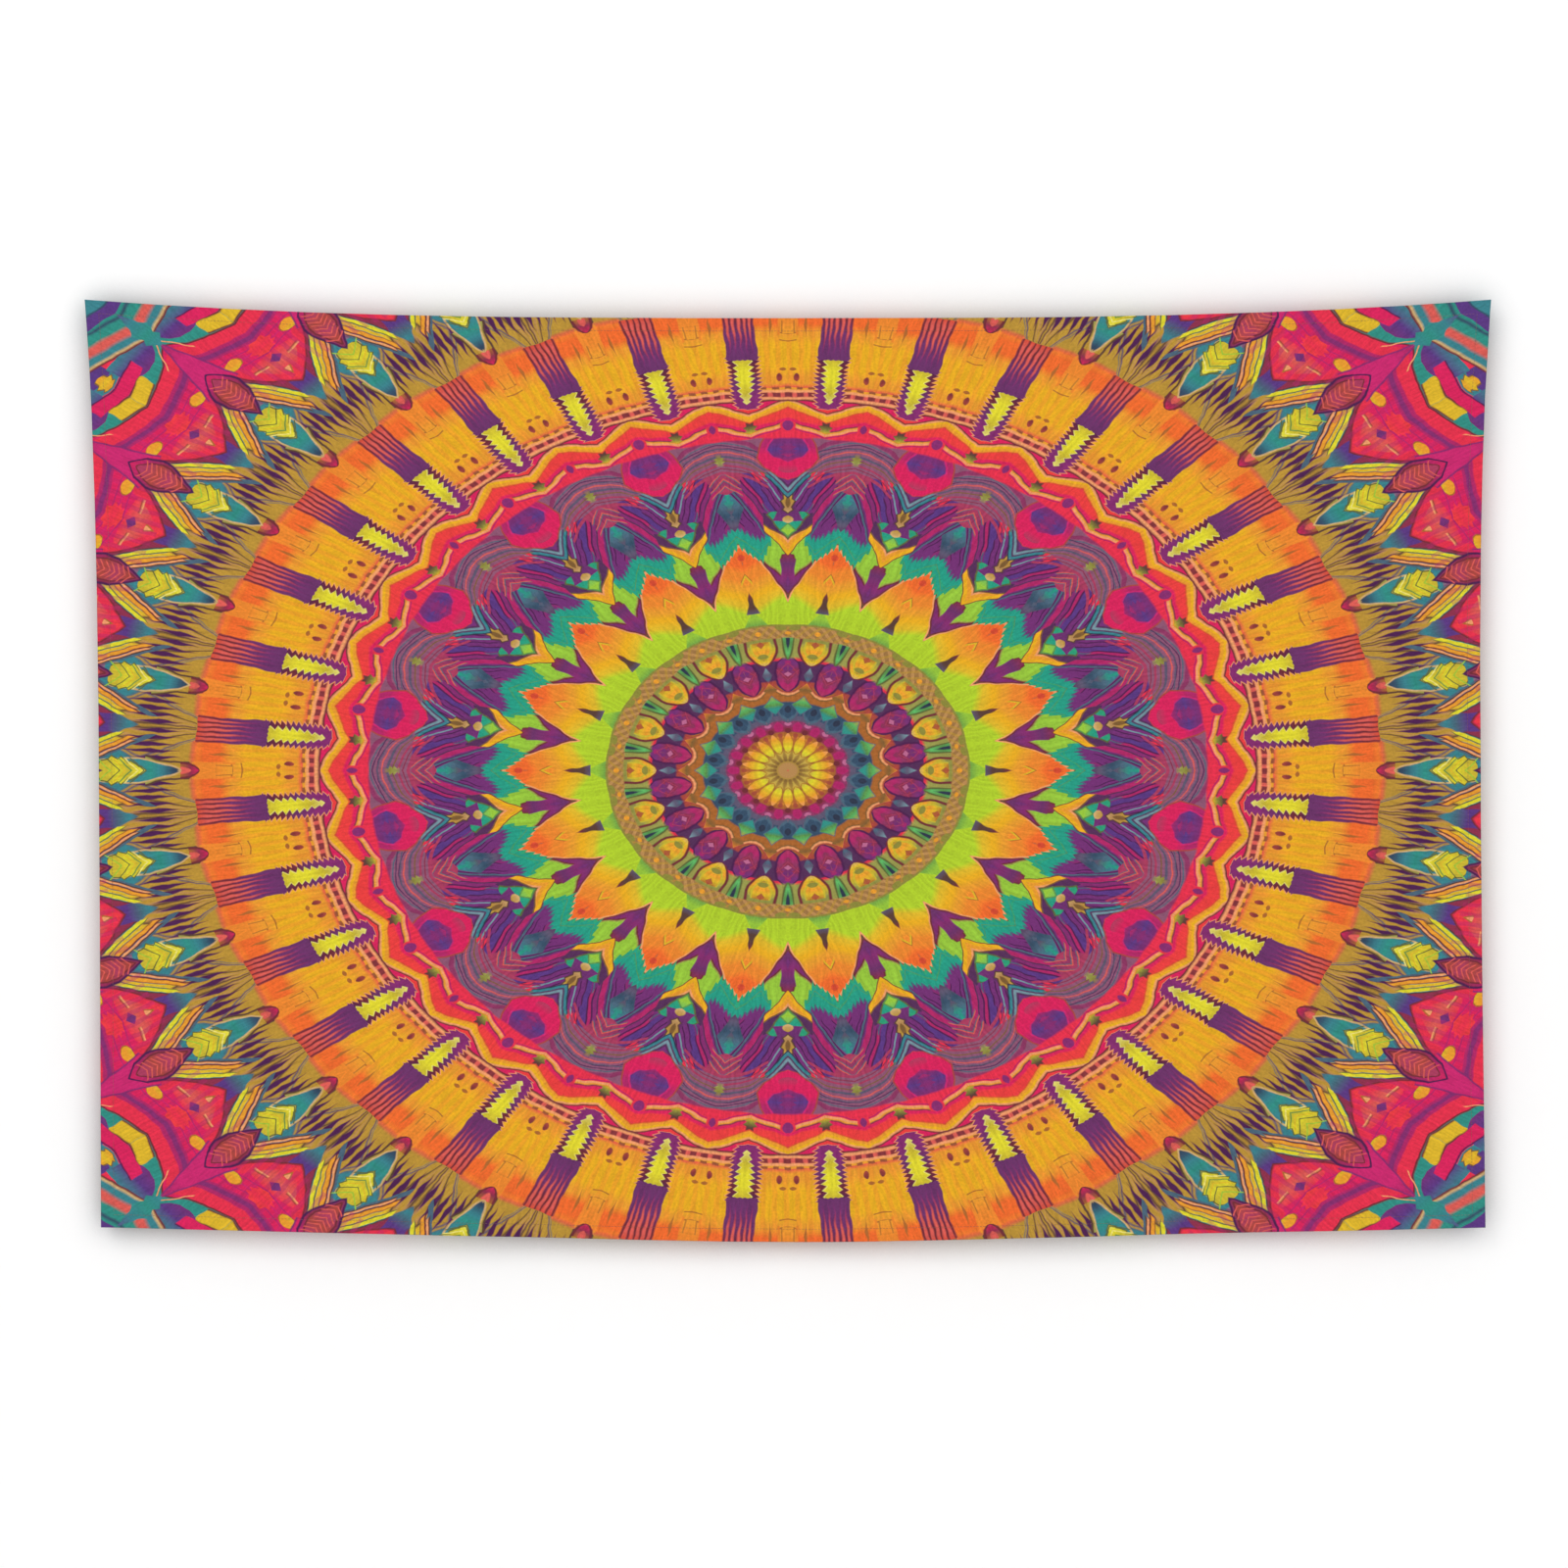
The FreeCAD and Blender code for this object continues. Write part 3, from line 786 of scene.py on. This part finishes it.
def paint_rim(art):
    """Teal rings that only the corners of the cloth reach."""
    art.wave([(0, 726), (5, 746)], -2, "maroon", 1, "sand", 3, "sea", 12, "coral", 22, "teal", 34, "navy",
             36, "teal", 110, axis="block", soft=2)
    art.wave([(0, 768), (4, 780)], -2, "violet", 10, "navy", 12, "sea", 60, axis="block", smooth=True)
    art.mark("block", 712, 768, 11, [(0, 0), (0.2, 0.9), (0.3, 0.6), (0.5, 1), (0.6, 0.6), (1, 0)],
             "sea teal sea violet")


DESIGN = [paint_sunflower, paint_heart, paint_chevrons, paint_ovals, paint_zigzags, paint_columns,
          paint_fans, paint_leaves, paint_rim]


# ---- materials ---------------------------------------------------------------

BARE_CLOTH = (0.62, 0.56, 0.5, 1)
BACK_BLEACH = 0.42            # share of the ink that doesn't reach the cloth's back
HEM_BLEACH = 0.06
WEAVE_SCALE, CREASE_SCALE = 900, 14
CREASE_HEIGHT = 8.0           # height of the creases against that of the weave


class Surface(Nodes):
    """A new material: its one shader and the nodes that feed it."""

    def __init__(self, name):
        self.material = bpy.data.materials.new(name)
        self.material.use_nodes = True
        super().__init__(self.material.node_tree)
        self.shader = self.tree.nodes["Principled BSDF"]

    def noise(self, spot, scale, detail=2.0):
        noise = self.node("ShaderNodeTexNoise")
        return self.feed(noise, {"Vector": spot, "Scale": scale, "Detail": detail}).outputs["Fac"]

    def fade(self, value, low, high, start=0.0, end=1.0):
        """From the low colour to the high one as the value goes from start to end."""
        ramp = self.node("ShaderNodeValToRGB", value)
        for point, place, colour in zip(ramp.color_ramp.elements, (start, end), (low, high)):
            point.position = place
            point.color = (*colour, 1)
        return ramp.outputs[0]

    def bump(self, height, strength, distance):
        bump = self.node("ShaderNodeBump")
        self.feed(bump, {"Strength": strength, "Distance": distance, "Height": height})
        self.feed(self.shader, {"Normal": bump.outputs["Normal"]})


def bleached(material, name, bleach):
    """The same print with part of its ink missing, as on the cloth's back."""
    paler = material.copy()
    paler.name = name
    paler.node_tree.nodes["bleach"].inputs[0].default_value = bleach
    return paler


def cloth_material(name):
    """Printed polyester with a fine weave and faint creases."""
    face = Surface(name)
    spot = face.node("ShaderNodeUVMap", uv_map="print").outputs[0]
    across, up, _ = face.node("ShaderNodeSeparateXYZ", spot).outputs
    places = face.node("ShaderNodeGroup", node_tree=places_group())
    face.fill(places.inputs["across"], face.math("MULTIPLY", across, 1 / MM / PRINT_STRETCH))
    face.fill(places.inputs["up"], face.math("MULTIPLY", up, 1 / MM))
    colour = ink("red")
    for group in [ring_group(paint) for paint in DESIGN] + [grain_group()]:
        ring = face.node("ShaderNodeGroup", node_tree=group)
        face.feed(ring, {place: places.outputs[place] for place in PLACES if place in ring.inputs})
        face.fill(ring.inputs["colour"], colour)
        colour = ring.outputs[0]
    bleach = face.node("ShaderNodeMix", 0.0, data_type="RGBA", name="bleach")
    face.fill(bleach.inputs[6], colour)
    face.fill(bleach.inputs[7], BARE_CLOTH)
    face.feed(face.shader, {
        "Base Color": bleach.outputs[2],
        "Roughness": 0.85,
        "Specular IOR Level": 0.2,
        "Sheen Weight": 0.08,
        "Sheen Roughness": 0.5,
    })
    weave = face.noise(spot, WEAVE_SCALE)
    creases = face.noise(spot, CREASE_SCALE, 3)
    face.bump(face.math("MULTIPLY_ADD", creases, CREASE_HEIGHT, weave), 0.5, 0.0003)
    return face.material


def thread_material(name, colour, scale):
    """Spun thread: a fine twist in its surface, with painted shade darkening its colour in the twist's
    grooves.
    """
    thread = Surface(name)
    spot = thread.node("ShaderNodeTexCoord").outputs["Object"]
    twist = thread.node("ShaderNodeTexWave", wave_type="BANDS", bands_direction="DIAGONAL")
    thread.feed(twist, {"Vector": spot, "Scale": scale, "Distortion": 2.5, "Detail Scale": 3.0})
    # painted shade: the low parts of the twist take 0.55 of the thread's colour
    shade = [0.55 * c for c in colour]
    thread.feed(thread.shader, {
        "Base Color": thread.fade(twist.outputs["Fac"], shade, colour),
        "Roughness": 0.7,
        "Sheen Weight": 0.2,
    })
    thread.bump(twist.outputs["Fac"], 0.6, 0.0001)
    return thread.material


def brass_material():
    """Stamped brass: dull tumbled surface, darker in small patches, finely scratched."""
    brass = Surface("ring_brass")
    spot = brass.node("ShaderNodeTexCoord").outputs["Object"]
    patches = brass.noise(spot, 420, 4)
    colour = brass.fade(patches, (0.42, 0.25, 0.08), (0.80, 0.56, 0.22), 0.35, 0.62)
    rough = brass.feed(brass.node("ShaderNodeMapRange"), {"Value": patches, "To Min": 0.45, "To Max": 0.24})
    brass.feed(brass.shader, {"Base Color": colour, "Roughness": rough.outputs[0], "Metallic": 1.0})
    brass.bump(brass.noise(spot, 3000), 0.15, 0.00005)
    return brass.material


# ---- hems -----------------------------------------------------------------------

HEM_WIDTH = 0.016
HEM_STEP = 0.004              # length of a hem's cells along the edge
HEM_GAP = 0.00003             # air between the face and its hem
HEM_RIPPLE = 0.00008          # how far a hem's back ripples
RIPPLE_PITCHES = (0.011, 0.017, 0.041)
PRINT_PAST_EDGE = 0.02        # share of the cloth that the print runs on round a fold
SEAM_IN = 0.014               # stitch line to the cloth's edge
SEAM_DIP = 0.0009             # the hem dips this far to each side of its stitches
UPRIGHT = ("left", "right")


def side_length(side):
    return FLAT_SIZE[1] if side in UPRIGHT else FLAT_SIZE[0]


def side_spots(side, inward, along):
    """u across and v down of spots this far in from a side and this far along it, in metres."""
    if side in UPRIGHT:
        u, v = inward / FLAT_SIZE[0], along / FLAT_SIZE[1]
    else:
        u, v = along / FLAT_SIZE[0], inward / FLAT_SIZE[1]
    if side == "right":
        u = 1 - u
    if side == "bottom":
        v = 1 - v
    return u, v


def hem_profile():
    """The hem's section, once round: (distance in from the edge, share of the way to its back)."""
    front = [(0.0, 0.5), (0.0002, 0.12), (0.0008, 0), (0.006, 0), (SEAM_IN, 0), (HEM_WIDTH - 0.0005, 0)]
    back = [(HEM_WIDTH, 0.5), (HEM_WIDTH - 0.0005, 0.95), (SEAM_IN + SEAM_DIP, 1), (SEAM_IN, 0.8),
            (SEAM_IN - SEAM_DIP, 1), (0.008, 1.0), (0.003, 1), (0.0008, 0.96), (0.0002, 0.85)]
    return front + back


def make_hem(name, side, material):
    """The turned-in strip along one side, following the hung face; its print runs on round the fold."""
    length = side_length(side)
    first = HEM_WIDTH if side in UPRIGHT else 0.0      # the side hems end at the other two
    runs = np.linspace(first, length - first, round((length - 2 * first) / HEM_STEP) + 1)
    phases = np.random.default_rng(len(name)).uniform(0, 2 * math.pi, 3)
    ripples = [np.sin(runs * 2 * math.pi / pitch + phase) for pitch, phase in zip(RIPPLE_PITCHES, phases)]
    back = HEM_BACK_Y - FACE_BACK_Y - HEM_GAP - HEM_RIPPLE * (1 + sum(ripples) / 3)
    rows = []
    prints = []
    for distance, share in hem_profile():
        inward = np.full_like(runs, distance)
        rows.append(surface(*side_spots(side, inward, runs), CLOTH_THICK + HEM_GAP + share * back))
        outward = [np.clip(spots, -PRINT_PAST_EDGE, 1 + PRINT_PAST_EDGE)
                   for spots in side_spots(side, -inward, runs)]
        prints.append(plane_point(*outward))
    points = np.stack(rows)
    around, steps = points.shape[:2]
    flip = side in ("top", "right")
    faces = []
    for ring in range(around):
        faces += strip_faces(ring * steps, (ring + 1) % around * steps, steps, flip)
    start_cap = [ring * steps for ring in range(around)]
    end_cap = [start + steps - 1 for start in start_cap]
    faces.append(start_cap if flip else start_cap[::-1])
    faces.append(end_cap[::-1] if flip else end_cap)
    return new_piece(name, points.reshape(-1, 3), faces, [material], np.stack(prints).reshape(-1, 2))


# ---- stitches and tacks --------------------------------------------------------

TUBE_SIDES = 6
TUBE_END = 0.45               # a tube's radius at its ends, as a share of its own

STITCH_PITCH = 0.0035
STITCH_LENGTH = 0.0029
STITCH_RADIUS = 0.00017
STITCH_PLACES = np.array([0, 0.2, 0.5, 0.8, 1])             # along a stitch
STITCH_LIFT = np.array([-0.9, 0.35, 0.6, 0.35, -0.9])       # out of the cloth there, in radii
STITCH_SINK = 0.0002          # how deep the back stitches lie in the hem

LOOP_PITCH = 0.00042
LOOP_SWAY = 0.0001
LOOP_POINTS = 41
PLY_RADIUS = 0.00011
PLY_TURN_RADIUS = 0.00009     # the two plies wind this far round the thread's middle
PLY_TURNS = 9                 # in one loop
END_PITCH = 0.0005
END_RADIUS = 0.00014


def tube(path, radius):
    """Points and faces of a closed tube along a path, narrowing at its ends."""
    path = np.asarray(path)
    way = np.gradient(path, axis=0)
    way /= np.linalg.norm(way, axis=1, keepdims=True)
    up = np.array([0.0, 1.0, 0.0]) if abs(way[0][1]) < 0.9 else np.array([1.0, 0.0, 0.0])
    points = []
    for index, (centre, ahead) in enumerate(zip(path, way)):
        side = np.cross(ahead, up)
        side /= np.linalg.norm(side)
        up = np.cross(side, ahead)
        size = radius * (TUBE_END if index in (0, len(path) - 1) else 1)
        for turn in np.arange(TUBE_SIDES) * 2 * math.pi / TUBE_SIDES:
            points.append(centre + size * (math.cos(turn) * side + math.sin(turn) * up))
    faces = []
    for start in range(0, (len(path) - 1) * TUBE_SIDES, TUBE_SIDES):
        for step in range(TUBE_SIDES):
            a, b = start + step, start + (step + 1) % TUBE_SIDES
            faces.append((a, a + TUBE_SIDES, b + TUBE_SIDES, b))
    faces.append(tuple(range(TUBE_SIDES)))
    faces.append(tuple(range(len(points) - 1, len(points) - TUBE_SIDES - 1, -1)))
    return points, faces


def join(parts):
    """One list of points and faces out of several."""
    points, faces = [], []
    for part_points, part_faces in parts:
        faces += [tuple(index + len(points) for index in face) for face in part_faces]
        points += part_points
    return points, faces


def make_stitches(name, side, material):
    """One row of stitches: short bars on the face and on the hem's back, by turns."""
    inward = np.full(len(STITCH_PLACES), SEAM_IN)
    lift = STITCH_RADIUS * STITCH_LIFT
    parts = []
    for start in np.arange(SEAM_IN, side_length(side) - SEAM_IN - STITCH_LENGTH, STITCH_PITCH):
        along = start + STITCH_LENGTH * STITCH_PLACES
        front = surface(*side_spots(side, inward, along))
        front[:, 1] -= lift
        back = surface(*side_spots(side, inward, along + STITCH_PITCH / 2), HEM_BACK_Y - FACE_FRONT_Y)
        back[:, 1] += lift - STITCH_SINK
        parts += [tube(front, STITCH_RADIUS), tube(back, STITCH_RADIUS)]
    return new_piece(name, *join(parts), [material])


def make_tack(name, node, material):
    """Loops of two-ply thread through the ring's eye, with their ends worked into the hem."""
    low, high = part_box(node)
    middle = (low + high) / 2
    loop_radius = (high.z - low.z) / 2 - 0.0002
    parts = []
    for number in (-1, 0, 1):
        for ply in (0, math.pi):
            path = []
            for turn in np.linspace(0, 2 * math.pi, LOOP_POINTS):
                twist = PLY_TURNS * turn + ply
                sideways = PLY_TURN_RADIUS * math.sin(twist) + LOOP_SWAY * math.sin(turn + number)
                reach = loop_radius + PLY_TURN_RADIUS * math.cos(twist)
                path.append((
                    middle.x + number * LOOP_PITCH + sideways,
                    middle.y + reach * math.cos(turn),
                    middle.z + reach * math.sin(turn),
                ))
            parts.append(tube(path, PLY_RADIUS))
    for number in (-1.5, -0.5, 0.5, 1.5):
        x = middle.x + number * END_PITCH
        path = [(x, low.y + 0.0001, middle.z - below) for below in (0.0021, 0.0012, 0.0004)]
        parts.append(tube(path, END_RADIUS))
    return new_piece(name, *join(parts), [material])


# ---- the hanging ----------------------------------------------------------------

front_print = cloth_material("printed_front")
back_print = bleached(front_print, "printed_back", BACK_BLEACH)
hem_print = bleached(front_print, "printed_hem", HEM_BLEACH)
seam_thread = thread_material("sewing_thread", (0.26, 0.10, 0.07), 900)
tack_thread = thread_material("tack_thread", (0.42, 0.32, 0.22), 1400)
ring_brass = brass_material()

cloth = make_cloth(front_print, back_print)
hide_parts("panel_top_strip", "printed_panel")

HEM_NODES = {
    "top": ("top_hem",),
    "left": ("left_hem_top_end", "left_hem"),
    "right": ("right_hem_top_end", "right_hem"),
    "bottom": ("bottom_hem",),
}
hems = []
for side, replaced in HEM_NODES.items():
    hem = make_hem(side + "_hem_strip", side, hem_print)
    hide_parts(*replaced)
    hems.append(hem)

seams = []
for side in HEM_NODES:
    seam = make_stitches(side + "_hem_stitches", side, seam_thread)
    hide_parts(side + "_hem_seam")
    seams.append(seam)

for piece in (cloth, *hems, *seams):
    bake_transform(piece)

for side in ("left", "right"):
    tack = make_tack(side + "_tack_thread", side + "_ring_tack", tack_thread)
    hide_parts(side + "_ring_tack")
    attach(tack, "top_band")
    ring = NODES[side + "_hanging_ring"]
    ring.data.materials.clear()
    ring.data.materials.append(ring_brass)


# ---- room, lights and camera -----------------------------------------------------

WALL_Y = 0.020
FLOOR_Z = -1.62
ROOM_REACH = 6                # the wall and the floor end this far from the middle
WALL_REACH_Z = 4
PAINTED_SHADOW_REACH = 0.045          # how wide the soft shadow painted into the wall's colour round the cloth is
WALL_WHITE = (1.05, 1.05, 1.05, 1)      # as bright as a white studio backdrop
FLOOR_GREY = (0.8, 0.8, 0.8, 1)
DAYLIGHT = 0.87
LAMP_AIM = (0, 0, -0.5)       # about the middle of the cloth
CLOTH_MIDDLE = (-0.0042, -0.5136)       # x and z that the camera is level with
VIEW_WIDTH = 1.690            # width of the view at the cloth


def plain_plane(name, corners, colour):
    """A matt plane that belongs to the stage; gives its node tree too."""
    mesh = bpy.data.meshes.new(name)
    mesh.from_pydata(corners, [], [(0, 1, 2, 3)])
    plane = bpy.data.objects.new(name, mesh)
    bpy.context.scene.collection.objects.link(plane)
    material = bpy.data.materials.new(name)
    material.use_nodes = True
    matt = Nodes(material.node_tree)
    matt.tree.nodes.remove(matt.tree.nodes["Principled BSDF"])
    paint = matt.node("ShaderNodeBsdfDiffuse", colour, name="paint")
    matt.feed(matt.tree.nodes["Material Output"], {"Surface": paint.outputs[0]})
    mesh.materials.append(material)
    return plane, matt


def shade_wall(matt, colour):
    """Paint a soft shadow into the wall's colour close to the cloth, and leave it clear from behind."""
    # painted shadow: an ambient occlusion node darkens the wall's colour close to the cloth
    painted_wall_shadow = matt.node("ShaderNodeAmbientOcclusion", colour, PAINTED_SHADOW_REACH, samples=8)
    paint = matt.feed(matt.tree.nodes["paint"], {"Color": painted_wall_shadow.outputs["Color"]})
    behind = matt.node("ShaderNodeNewGeometry").outputs["Backfacing"]
    clear = matt.node("ShaderNodeBsdfTransparent")
    mix = matt.node("ShaderNodeMixShader", behind, paint.outputs[0], clear.outputs[0])
    matt.feed(matt.tree.nodes["Material Output"], {"Surface": mix.outputs[0]})


def area_light(name, place, size, power):
    data = bpy.data.lights.new(name, "AREA")
    data.shape = "DISK"
    data.size = size
    data.energy = power
    lamp = bpy.data.objects.new(name, data)
    lamp.location = place
    lamp.rotation_euler = (Vector(LAMP_AIM) - Vector(place)).to_track_quat("-Z", "Y").to_euler()
    bpy.context.scene.collection.objects.link(lamp)


wall, wall_paint = plain_plane(
    "wall",
    [(x * ROOM_REACH, WALL_Y, z * WALL_REACH_Z) for x, z in ((-1, -1), (1, -1), (1, 1), (-1, 1))],
    WALL_WHITE,
)
shade_wall(wall_paint, WALL_WHITE)
wall.visible_shadow = False
wall.visible_glossy = False
plain_plane(
    "floor",
    [(x * ROOM_REACH, y * ROOM_REACH, FLOOR_Z) for x, y in ((-1, -1), (1, -1), (1, 1), (-1, 1))],
    FLOOR_GREY,
)

scene = bpy.context.scene
scene.view_settings.view_transform = "Standard"      # the inks keep their own colours
scene.world = bpy.data.worlds.new("studio")
scene.world.use_nodes = True
sky = scene.world.node_tree.nodes["Background"].inputs
sky["Color"].default_value = (1, 1, 1, 1)
sky["Strength"].default_value = DAYLIGHT

area_light("key", (-1.9, -3.0, 1.9), 2.2, 24)
area_light("fill", (2.4, -3.4, 0.4), 2.4, 8)
area_light("back", (1.5, 3.2, 1.0), 2.0, 75)

lens = bpy.data.cameras.new("camera")
lens.lens = 85
lens.sensor_width = 36
camera = bpy.data.objects.new("camera", lens)
distance = VIEW_WIDTH * lens.lens / lens.sensor_width
camera.location = (CLOTH_MIDDLE[0], FACE_FRONT_Y - distance, CLOTH_MIDDLE[1])
camera.rotation_euler = (math.radians(90), 0, 0)
scene.collection.objects.link(camera)
scene.camera = camera

bpy.context.view_layer.update()
